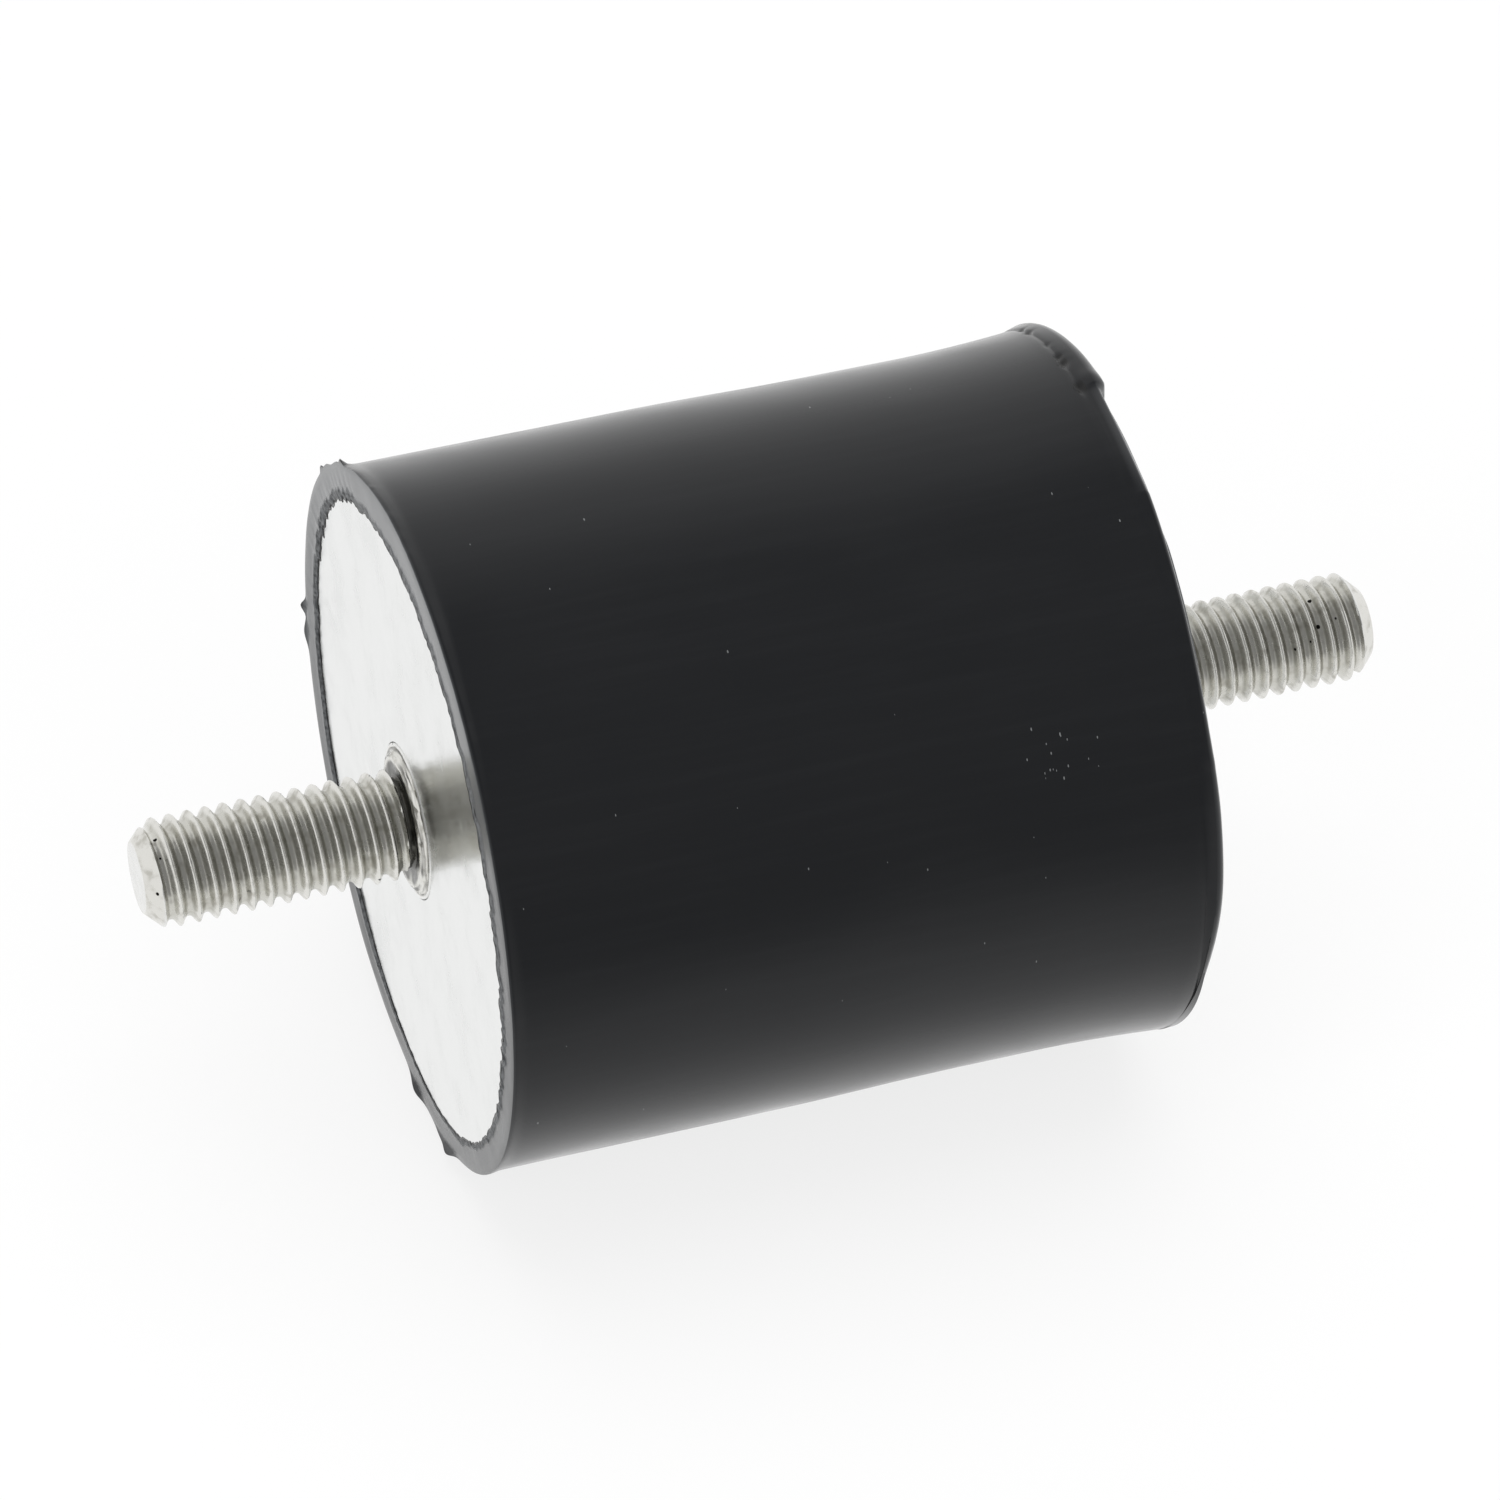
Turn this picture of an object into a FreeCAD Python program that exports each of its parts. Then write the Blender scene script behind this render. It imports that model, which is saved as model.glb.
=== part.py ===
import FreeCAD, Part
import math
import os
import Sketcher

# Cotton reel rubber mount with a stud at each end, lying along X, centred on the origin.
# A rubber cylinder with a slight waist is moulded round two steel plates. Each plate carries
# a stud whose head is buried in the rubber, whose shoulder fills the hole of the plate and
# whose collar is upset proud of it. Lengths are in millimetres.

doc = FreeCAD.newDocument("CottonReelMount")

# Driving dimensions
DIMENSIONS = {
    # rubber body
    "body_length": 50.0,
    "rim_diameter": 50.0,
    "waist_depth": 0.65,
    "left_flare_rise": 0.35,
    "left_flare_length": 3.0,
    "right_flare_length": 10.0,
    "left_edge_radius": 0.3,
    "lip_length": 1.8,
    "lip_step": 0.3,
    "lip_radius": 0.8,
    # end plates
    "rubber_ring_width": 2.6,
    "plate_thickness": 3.0,
    "plate_edge_radius": 0.8,
    # studs
    "stud_diameter": 8.0,
    "stud_length": 19.0,
    "tip_chamfer": 1.3,
    "undercut_depth": 0.75,
    "undercut_length": 0.9,
    "collar_height": 0.8,
    "collar_width": 0.6,
    "shoulder_width": 1.5,
    "head_overhang": 2.5,
    "head_thickness": 2.5,
    "head_edge_radius": 0.8,
}

sheet = doc.addObject("Spreadsheet::Sheet", "Sizes")
for row, (alias, number) in enumerate(DIMENSIONS.items(), start=1):
    sheet.set(f"A{row}", alias)
    sheet.set(f"B{row}", str(number))
    sheet.setAlias(f"B{row}", alias)
doc.recompute()


# A length worked out from the sheet: its number now, and the expression that keeps it bound
class Length:
    def __init__(self, number, expression):
        self.number = number
        self.expression = expression

    def join(self, other, sign, number):
        text = other.expression if isinstance(other, Length) else str(other)
        return Length(number, f"({self.expression} {sign} {text})")

    def __add__(self, other):
        return self.join(other, "+", self.number + plain(other))

    def __sub__(self, other):
        return self.join(other, "-", self.number - plain(other))

    def __mul__(self, other):
        return self.join(other, "*", self.number * plain(other))

    def __truediv__(self, other):
        return self.join(other, "/", self.number / plain(other))

    def __neg__(self):
        return Length(-self.number, f"(-1 * {self.expression})")


def plain(value):
    return value.number if isinstance(value, Length) else value


def size(alias):
    return Length(getattr(sheet, alias), f"Sizes.{alias}")


# One corner of a profile. The edge from it to the next corner is straight,
# or an arc of the radius bow, which bulges away from the axis or, if hollow, towards it
class Corner:
    def __init__(self, x, y, bow=None, hollow=False):
        self.x = x
        self.y = y
        self.bow = bow
        self.hollow = hollow

    def point(self):
        return FreeCAD.Vector(plain(self.x), plain(self.y), 0)


def originPlane(body, role):
    for feature in body.Origin.OriginFeatures:
        if feature.Role == role:
            return feature
    raise ValueError(f"{body.Label} has no {role}")


# The arc from start to end, drawn anticlockwise, and whether that takes it from end to start
def arcBetween(start, end, radius, hollow):
    chord = end - start
    bulge = FreeCAD.Vector(-chord.y, chord.x, 0).normalize()
    if (bulge.y < 0) != hollow:
        bulge = -bulge
    sagitta = radius - math.sqrt(radius**2 - (chord.Length / 2) ** 2)
    middle = (start + end) / 2 + bulge * sagitta
    if chord.cross(bulge).z > 0:
        return Part.Arc(end, middle, start), True
    return Part.Arc(start, middle, end), False


def pinCorner(sketch, edge, end, corner):
    origin = (-1, 1)
    for kind, along, axis in (("DistanceX", corner.x, -2), ("DistanceY", corner.y, -1)):
        if plain(along) == 0:
            sketch.addConstraint(Sketcher.Constraint("PointOnObject", edge, end, axis))
            continue
        index = sketch.addConstraint(Sketcher.Constraint(kind, *origin, edge, end, plain(along)))
        sketch.setExpression(f"Constraints[{index}]", along.expression)


# A closed profile in the XZ plane, each of whose corners is dimensioned from the origin
def drawProfile(body, name, corners):
    sketch = body.newObject("Sketcher::SketchObject", name)
    sketch.AttachmentSupport = (originPlane(body, "XZ_Plane"), [""])
    sketch.MapMode = "FlatFace"
    ends = []
    for corner, following in zip(corners, corners[1:] + corners[:1]):
        start, end = corner.point(), following.point()
        if corner.bow is None:
            edge = sketch.addGeometry(Part.LineSegment(start, end))
            ends.append((edge, 1, 2))
            continue
        radius = plain(corner.bow)
        arc, turned = arcBetween(start, end, radius, corner.hollow)
        edge = sketch.addGeometry(arc)
        ends.append((edge, 2, 1) if turned else (edge, 1, 2))
        index = sketch.addConstraint(Sketcher.Constraint("Radius", edge, radius))
        sketch.setExpression(f"Constraints[{index}]", corner.bow.expression)
    for (edge, first, last), (following, start, _) in zip(ends, ends[1:] + ends[:1]):
        sketch.addConstraint(Sketcher.Constraint("Coincident", edge, last, following, start))
    for (edge, first, _), corner in zip(ends, corners):
        pinCorner(sketch, edge, first, corner)
    return sketch


def turn(body, kind, name, sketch):
    feature = body.newObject(kind, name)
    feature.Profile = sketch
    feature.ReferenceAxis = (sketch, ["H_Axis"])
    feature.Angle = 360
    sketch.Visibility = False
    doc.recompute()
    return feature


half_length = size("body_length") / 2
rim_radius = size("rim_diameter") / 2
waist_radius = rim_radius - size("waist_depth")
plate_radius = rim_radius - size("rubber_ring_width")
plate_thickness = size("plate_thickness")
plate_edge_radius = size("plate_edge_radius")
stud_radius = size("stud_diameter") / 2
shoulder_radius = stud_radius + size("shoulder_width")
head_radius = shoulder_radius + size("head_overhang")
head_depth = plate_thickness + size("head_thickness")
head_edge_radius = size("head_edge_radius")


# The radius of an arc that leaves the waist along it and climbs by rise over the length run
def flareRadius(run, rise):
    return (run * run + rise * rise) / (rise * 2)


# What the plate and the stud's head fill behind the end face, from offset inwards
def seatCorners(offset):
    return [
        Corner(offset, 0),
        Corner(offset, plate_radius),
        Corner(offset + (plate_thickness - plate_edge_radius), plate_radius, plate_edge_radius),
        Corner(offset + plate_thickness, plate_radius - plate_edge_radius),
        Corner(offset + plate_thickness, head_radius),
        Corner(offset + (head_depth - head_edge_radius), head_radius, head_edge_radius),
        Corner(offset + head_depth, head_radius - head_edge_radius),
        Corner(offset + head_depth, 0),
    ]


def makeRubberBody():
    body = doc.addObject("PartDesign::Body", "rubber_body")
    left_edge = size("left_edge_radius")
    left_flare = size("left_flare_length")
    right_flare = size("right_flare_length")
    lip_radius = size("lip_radius")
    parting_radius = rim_radius - size("lip_step")
    parting_x = half_length - size("lip_length")
    waist_left = -half_length + left_flare
    waist_right = half_length - right_flare
    left_rim_radius = waist_radius + size("left_flare_rise")
    left_bow = flareRadius(left_flare - left_edge, size("left_flare_rise"))
    right_bow = flareRadius(parting_x - waist_right, parting_radius - waist_radius)
    corners = [
        Corner(-half_length, 0),
        Corner(-half_length, left_rim_radius - left_edge, left_edge),
        Corner(-half_length + left_edge, left_rim_radius, left_bow, hollow=True),
        Corner(waist_left, waist_radius),
        Corner(waist_right, waist_radius, right_bow, hollow=True),
        Corner(parting_x, parting_radius),
        Corner(parting_x, rim_radius),
        Corner(half_length - lip_radius, rim_radius, lip_radius),
        Corner(half_length, rim_radius - lip_radius),
        Corner(half_length, 0),
    ]
    moulding = turn(body, "PartDesign::Revolution", "Moulding", drawProfile(body, "Outside", corners))
    full = moulding.Shape.Volume
    seat = drawProfile(body, "SeatProfile", seatCorners(-half_length))
    left_seat = turn(body, "PartDesign::Groove", "LeftSeat", seat)
    cut_once = left_seat.Shape.Volume
    right_seat = body.newObject("PartDesign::Mirrored", "RightSeat")
    right_seat.Originals = [left_seat]
    right_seat.MirrorPlane = (originPlane(body, "YZ_Plane"), [""])
    body.Tip = right_seat
    doc.recompute()
    cut_twice = right_seat.Shape.Volume
    if not (cut_once < full and abs((full - cut_once) - (cut_once - cut_twice)) < 1e-3 * full):
        raise ValueError("the seats of the plates aren't cut alike in the rubber")
    return body


# A plate or a stud is drawn with the outer face of its end at x = 0 and the rubber towards +X
def seatAtEnd(body, side):
    body.Placement.Rotation = FreeCAD.Rotation(FreeCAD.Vector(0, 0, 1), 0 if side < 0 else 180)
    body.setExpression("Placement.Base.x", (half_length * side).expression)


def makePlate(label, side):
    body = doc.addObject("PartDesign::Body", label)
    corners = [
        Corner(0, shoulder_radius),
        Corner(0, plate_radius),
        Corner(plate_thickness - plate_edge_radius, plate_radius, plate_edge_radius),
        Corner(plate_thickness, plate_radius - plate_edge_radius),
        Corner(plate_thickness, shoulder_radius),
    ]
    turn(body, "PartDesign::Revolution", "Disc", drawProfile(body, "Section", corners))
    seatAtEnd(body, side)
    return body


def makeStud(label, side):
    body = doc.addObject("PartDesign::Body", label)
    tip_chamfer = size("tip_chamfer")
    undercut_radius = stud_radius - size("undercut_depth")
    collar_end = -size("collar_height")
    thread_foot = collar_end - size("undercut_length")
    corners = [
        Corner(head_depth, 0),
        Corner(head_depth, head_radius - head_edge_radius, head_edge_radius),
        Corner(head_depth - head_edge_radius, head_radius),
        Corner(plate_thickness, head_radius),
        Corner(plate_thickness, shoulder_radius),
        Corner(0, shoulder_radius),
        Corner(collar_end, stud_radius + size("collar_width")),
        Corner(collar_end, undercut_radius),
        Corner(thread_foot, undercut_radius),
        Corner(thread_foot - size("undercut_depth"), stud_radius),
        Corner(-size("stud_length") + tip_chamfer, stud_radius),
        Corner(-size("stud_length"), stud_radius - tip_chamfer),
        Corner(-size("stud_length"), 0),
    ]
    turn(body, "PartDesign::Revolution", "Turned", drawProfile(body, "Section", corners))
    seatAtEnd(body, side)
    return body


left, right = -1, 1
pieces = [
    makeRubberBody(),
    makePlate("left_plate", left),
    makePlate("right_plate", right),
    makeStud("left_stud", left),
    makeStud("right_stud", right),
]
doc.recompute()

for item in doc.Objects:
    if "Invalid" in item.State or "Error" in item.State:
        raise ValueError(f"{item.Label} failed to build")
for piece in pieces:
    if piece.Shape.isNull() or not piece.Shape.isValid():
        raise ValueError(f"{piece.Label} has no sound solid")

os.makedirs("parts", exist_ok=True)
for piece in pieces:
    piece.Shape.exportStep(f"parts/{piece.Label}.step")
    print(piece.Label, round(piece.Shape.Volume, 1), "mm3")
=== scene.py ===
import math

import bmesh
import bpy
import numpy as np
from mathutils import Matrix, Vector


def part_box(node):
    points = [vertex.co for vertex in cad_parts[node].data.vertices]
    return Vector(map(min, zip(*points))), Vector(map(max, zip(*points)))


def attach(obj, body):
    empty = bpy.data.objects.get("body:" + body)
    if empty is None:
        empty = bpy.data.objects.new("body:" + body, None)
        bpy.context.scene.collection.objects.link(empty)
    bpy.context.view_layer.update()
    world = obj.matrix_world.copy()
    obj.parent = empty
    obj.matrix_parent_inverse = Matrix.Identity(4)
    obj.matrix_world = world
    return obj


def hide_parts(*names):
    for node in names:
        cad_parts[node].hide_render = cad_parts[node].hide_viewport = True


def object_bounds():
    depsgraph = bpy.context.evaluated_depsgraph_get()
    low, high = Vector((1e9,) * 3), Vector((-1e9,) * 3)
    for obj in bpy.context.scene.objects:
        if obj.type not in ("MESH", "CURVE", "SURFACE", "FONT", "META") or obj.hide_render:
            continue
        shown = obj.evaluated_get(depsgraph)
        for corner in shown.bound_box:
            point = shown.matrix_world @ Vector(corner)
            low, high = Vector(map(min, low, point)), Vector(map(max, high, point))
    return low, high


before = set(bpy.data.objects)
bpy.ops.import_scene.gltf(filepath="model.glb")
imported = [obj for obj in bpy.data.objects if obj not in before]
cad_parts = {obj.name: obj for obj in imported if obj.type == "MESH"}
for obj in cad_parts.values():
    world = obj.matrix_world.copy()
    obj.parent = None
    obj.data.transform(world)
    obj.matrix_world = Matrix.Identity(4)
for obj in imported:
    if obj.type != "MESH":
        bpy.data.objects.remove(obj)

# Cotton reel rubber mount, lying on a pale floor. Sizes in the dictionaries are millimetres,
# clock angles are degrees about X, from the top (+Z) towards the front (-Y).

mm = 0.001
perMm = 1 / mm  # texture scale of a pattern that repeats every millimetre
fullTurn = 2 * math.pi
scene = bpy.context.scene
scene.view_settings.view_transform = "Standard"
cadLow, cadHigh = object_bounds()
print("frame loaded")

smooth = {"interpolation_type": "SMOOTHSTEP"}  # a Map Range with soft ends
colourMix = {"data_type": "RGBA"}  # a Mix of colours: sockets 0 share, 6 under, 7 over, output 2


def linearColour(hexText):  # sRGB hex to the linear colour that the nodes take
    channels = [int(hexText[i:i + 2], 16) / 255 for i in (1, 3, 5)]
    return [c / 12.92 if c <= 0.04045 else ((c + 0.055) / 1.055) ** 2.4 for c in channels] + [1.0]


def addNode(tree, kind, settings={}, links={}):  # one node, its settings and what feeds it
    node = tree.nodes.new(kind)
    for name, value in settings.items():
        if isinstance(name, int) or name in node.inputs:
            node.inputs[name].default_value = value
        else:
            setattr(node, name, value)
    for socket, source in links.items():
        tree.links.new(source, node.inputs[socket])
    return node


def newMaterial(name):
    material = bpy.data.materials.new(name)
    material.use_nodes = True
    material.node_tree.nodes.clear()
    return material, material.node_tree


def ease(start, end, value):  # 0 below start, 1 above end, smooth between
    part = np.clip((value - start) / (end - start), 0, 1)
    return part * part * (3 - 2 * part)


def clockNoise(seed, knots, clock):  # smooth, -1..1, repeats every turn
    heights = np.random.RandomState(seed).uniform(-1, 1, knots)
    place = np.mod(clock / fullTurn, 1) * knots
    cell = np.floor(place).astype(int)
    part = ease(0, 1, place - cell)
    return heights[cell % knots] * (1 - part) + heights[(cell + 1) % knots] * part


def skinNoise(seed, knots, spacing, clock, along):  # the same over a skin, with a spacing along X
    steps = 256
    heights = np.random.RandomState(seed).uniform(-1, 1, (knots, steps))
    place = np.mod(clock / fullTurn, 1) * knots
    reach = along / spacing + steps / 2
    cell = np.floor(place).astype(int)
    step = np.floor(reach).astype(int)
    part = ease(0, 1, place - cell)
    rest = ease(0, 1, reach - step)
    near, far = cell % knots, (cell + 1) % knots
    step = np.clip(step, 0, steps - 2)
    first = heights[near, step] * (1 - part) + heights[far, step] * part
    second = heights[near, step + 1] * (1 - part) + heights[far, step + 1] * part
    return first * (1 - rest) + second * rest


def nearClock(clock, centre, width):  # 1 at a clock angle, falling away over a width in degrees
    away = np.mod(np.degrees(clock) - centre + 180, 360) - 180
    return np.exp(-(away / width) ** 2)


def spreadRings(rings, columns, layers):  # lays rings end to end; a value that a ring leaves out is 0
    flat = np.zeros(columns)
    rows = [[flat + value for value in ring] + [flat] * (layers - len(ring)) for ring in rings]
    return [np.concatenate(layer) for layer in zip(*rows)]


def skinFaces(rows, columns, lead=0):  # quads between rings; at the seam a ring meets the one lead further on
    faces = []
    for row in range(rows - 1):
        for column in range(columns):
            after, up = column + 1, 0
            if after == columns:
                after, up = 0, lead
            if row + 1 + up < rows:
                faces.append((row * columns + column, (row + 1) * columns + column,
                              (row + 1 + up) * columns + after, (row + up) * columns + after))
    return faces


def endFaces(count, columns):  # the flat lids on the first and the last ring
    return [tuple(range(columns)), tuple(range(count - columns, count))]


def makePiece(name, points, faces, crease, masks):  # a smooth-shaded mesh of points in mm
    weld, sliver = 0.0005 * mm, 0.0002 * mm
    mesh = bpy.data.meshes.new(name)
    mesh.from_pydata((np.asarray(points) * mm).tolist(), [], faces)
    for label, values in masks.items():
        mesh.attributes.new(label, "FLOAT", "POINT").data.foreach_set("value", np.asarray(values, float))
    build = bmesh.new()
    build.from_mesh(mesh)
    bmesh.ops.remove_doubles(build, verts=build.verts, dist=weld)
    bmesh.ops.dissolve_degenerate(build, edges=build.edges, dist=sliver)
    bmesh.ops.recalc_face_normals(build, faces=build.faces)
    build.to_mesh(mesh)
    build.free()
    mesh.shade_smooth()
    mesh.set_sharp_from_angle(angle=math.radians(crease))
    piece = bpy.data.objects.new(name, mesh)
    scene.collection.objects.link(piece)
    print(name, len(mesh.polygons), "faces")
    return piece


rubber = {
    "columns": 720,
    "crease": 40,              # degrees
    "halfLength": 25.0,
    "plateRadius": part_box("left_plate")[1].z / mm,
    "plateThickness": 3.0,
    "edgeRound": 0.8,          # of the plate's edge and of the head's
    "headRadius": 8.0,
    "headDepth": 5.5,
    # barrel
    "barrelRadius": 24.43,     # near the left end
    "waistDrop": 0.18,         # thinner towards the right
    "waistFrom": -4.0,
    "waistTo": 9.0,
    "leftFlareStart": -23.6,
    "leftFlareLength": 1.4,
    "rightFlare": 0.4,
    "rightFlareStart": 14.0,
    "ripple": 0.012,           # height of the drawn streaks in the skin
    "rippleLength": 4.0,
    # left end
    "leftRim": 24.56,
    "leftRimLift": 0.14,       # the burred rim stands higher at the top and at the back
    "rimWaver": 0.03,
    "frontSlope": 0.08,        # the left face falls back towards its rim at the front
    "rearLean": 0.32,          # the left face bulges outwards at the back
    "film": 0.42,              # how far the torn film reaches over the plate
    "filmTop": 0.35,           # further at the top, less at the bottom
    "filmRear": 0.42,          # hardly at all at the back
    "filmMost": 1.2,
    "filmLeast": 0.02,
    "band": 0.34,              # width of the torn band beside the film
    "bandTop": 0.3,
    "groove": 0.16,            # depth of the dark groove at the plate's edge
    "grooveMost": 0.22,
    "tornHeight": 0.035,       # of the bumps in the torn band
    "burr": 0.05,
    "nubs": (                  # flash left on the left rim: clock angle, height, width
        (-49, 0.4, 1.2), (-45, 0.2, 2.0), (-33, 0.42, 1.2), (-37, 0.15, 2.5), (-91, 0.35, 1.2),
        (-96, 0.2, 2.4), (180, 0.24, 3.2), (161, 0.32, 3.0), (166, 0.1, 3.0),
    ),
    # right end
    "partingLine": 23.2,
    "lineFrontDrift": 0.25,    # the parting line wanders outwards at the front
    "lineLowDrift": 0.5,       # and more towards the bottom
    "lipRadius": 24.97,
    "lipShort": 0.48,          # past the moulded stretch the lip is cut back by this much
    "lipFrontBack": 0.27,      # which it gains again at the front
    "lipLowCut": 0.32,         # cut back once more towards the bottom
    "lipLowDrop": 0.3,
    "lipCurve": 0.8,           # radius of the lip's round edge, and what is added to it:
    "trimmedCurve": 0.5,
    "lowCurve": 1.15,
    "trimmedDepth": 0.36,      # cut away between the two kinks
    "trimStart": -3.0,
    "trimEnd": 21.0,
    "rightFilm": 0.3,
    "teeth": (                 # torn marks along the parting line: clock angle, depth, width
        (-33, 0.8, 0.9), (-29, 0.9, 1.2), (-19.5, 0.4, 0.8), (-14, 0.8, 0.9), (-11.5, 1.0, 1.5),
        (-3.5, 1.0, 1.8),
    ),
}


def seatRings(cfg, side):  # the pocket of the plate and the stud's head, from the middle outwards
    floor = side * (cfg["halfLength"] - cfg["headDepth"])
    bed = side * (cfg["halfLength"] - cfg["plateThickness"])
    turn = cfg["edgeRound"]

    def corner(depth, outer):
        angles = [step / 4 * math.pi / 2 for step in range(5)]
        return [(depth + side * turn * (1 - math.cos(angle)), outer - turn * (1 - math.sin(angle)))
                for angle in angles]

    return ([(floor, 0.01), (floor, 4.0)] + corner(floor, cfg["headRadius"])
            + [(bed, cfg["headRadius"]), (bed, 14.0)] + corner(bed, cfg["plateRadius"]))


def leftRimRadius(cfg, clock):
    lift = ease(-0.2, 0.9, np.cos(clock + 0.3)) + ease(0.5, 1.0, -np.sin(clock))
    return cfg["leftRim"] + cfg["rimWaver"] * clockNoise(5, 60, clock) + cfg["leftRimLift"] * lift


# Rings of the left end, as x, radius, black share, torn share and grey share: the ragged film over the
# plate's edge, the torn band, the ring face and the sharp rim. The black is loose flash, and painted shade at
# the film's edge and in the groove; the grey is bloom with painted light.
def leftEndRings(cfg, clock, rim):
    face, plate = -cfg["halfLength"], cfg["plateRadius"]
    up, front = np.cos(clock), np.sin(clock)
    rear = ease(0.1, 0.9, -front)
    film = cfg["film"] + cfg["filmTop"] * up - cfg["filmRear"] * rear
    tearing = (0.06 + 0.14 * np.abs(front)) * (0.35 + 0.65 * ease(-0.9, 0.2, up))
    film += tearing * (clockNoise(3, 90, clock) + 1.6 * clockNoise(4, 300, clock))
    film = np.clip(film, cfg["filmLeast"], cfg["filmMost"])
    lean = cfg["frontSlope"] * ease(0.0, 0.8, front) - cfg["rearLean"] * ease(0.0, 0.6, -front)
    nubs = sum(height * nearClock(clock, at, width) for at, height, width in cfg["nubs"])
    burr = nubs + cfg["burr"] * np.clip(clockNoise(6, 180, clock), 0, 1) * ease(0.2, 1.0, up)
    curl = nubs * (0.1 + ease(0.0, 0.5, -np.cos(clock - 0.35)))  # flash at the back curls outwards
    ragged = [cfg["tornHeight"] * clockNoise(seed, 240, clock) for seed in range(10, 16)]
    band = cfg["band"] + cfg["bandTop"] * ease(-0.3, 0.9, up)
    band = band * (1 + 0.3 * clockNoise(8, 50, clock) + 0.25 * clockNoise(9, 200, clock))
    inner = plate - film
    # painted shade: the film's edge over the plate is coloured black
    rings = [(face, plate, 1.0), (face - 0.01, inner, 1.0), (face - 0.03, inner + 0.03, 1.0)]

    # the groove is deepest at the front, where the film stands away from the plate's round edge; the film's
    # edge and the groove are painted black as shade
    gap = np.abs(front) * (0.4 + 0.6 * ease(-0.7, 0.3, up)) * (1 - 0.6 * rear)
    inner = inner + gap * (0.3 + 0.12 * clockNoise(16, 80, clock) + 0.12 * clockNoise(17, 240, clock))
    dip = np.clip(cfg["groove"] * gap * (1 + 0.6 * clockNoise(18, 160, clock)), 0, cfg["grooveMost"])
    rings.append((face - 0.03 + dip, inner - 0.12 * gap, 1.0))
    rings.append((face - 0.03 + dip * 0.6 + ragged[5], inner + 0.02, 0.9))
    rings.append((face - 0.06 + ragged[0], inner + 0.1, 0.3, 1.0))
    for share, wave in ((0.2, ragged[1]), (0.4, ragged[2]), (0.6, ragged[3]), (0.8, ragged[4])):
        rings.append((face - 0.05 + lean * 0.6 * share + wave, inner + 0.09 + band * share, 0.0, 1.0))

    start = inner + 0.09 + band
    # painted light: the bloom's grey is made lighter at the top and at the back, where the light falls, over
    # a real grey bloom
    bloom_and_painted_light = np.maximum(ease(-0.1, 0.9, np.cos(clock + 0.3)), 0.8 * ease(0.3, 1.0, -front))
    bloom_and_painted_light = 0.3 + 0.65 * bloom_and_painted_light
    rings.append((face - 0.03 + lean * 0.6, start, 0.0, 0.5, bloom_and_painted_light))
    for share, seed in ((0.08, 20), (0.3, 23), (0.5, 25), (0.7, 27), (0.9, 29)):
        rings.append((face - 0.02 + lean * (0.6 + 0.4 * share) + 0.01 * clockNoise(seed, 90, clock),
                      start + (rim - 0.15 - start) * share, 0.0, 0.0, bloom_and_painted_light))
    rings.append((face + lean, rim - 0.12, 0.0, 0.0, bloom_and_painted_light))
    rings.append((face + lean + 0.01 - curl, rim - 0.03 + burr * 0.9, nubs * 2, 0.0, bloom_and_painted_light * 0.8))
    rings.append((face + lean + 0.07 - curl * 0.8, rim + burr, nubs * 2, 0.0, 0.2))
    rings.append((face + lean * 0.9 + 0.2, rim + burr * 0.55, nubs * 2))
    rings.append((face + lean * 0.8 + 0.4, rim - 0.03 + burr * 0.1))
    return rings


def barrelRing(cfg, clock, rim, x):
    radius = cfg["barrelRadius"] - cfg["waistDrop"] * ease(cfg["waistFrom"], cfg["waistTo"], x)
    reach = cfg["partingLine"] - cfg["rightFlareStart"]
    radius += cfg["rightFlare"] * (max(x - cfg["rightFlareStart"], 0) / reach) ** 2
    flare = max(0.0, (cfg["leftFlareStart"] - x) / cfg["leftFlareLength"]) ** 2
    radius = radius + (rim - cfg["barrelRadius"]) * flare
    return x, radius + cfg["ripple"] * skinNoise(30, 40, cfg["rippleLength"], clock, np.full_like(clock, x))


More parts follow.
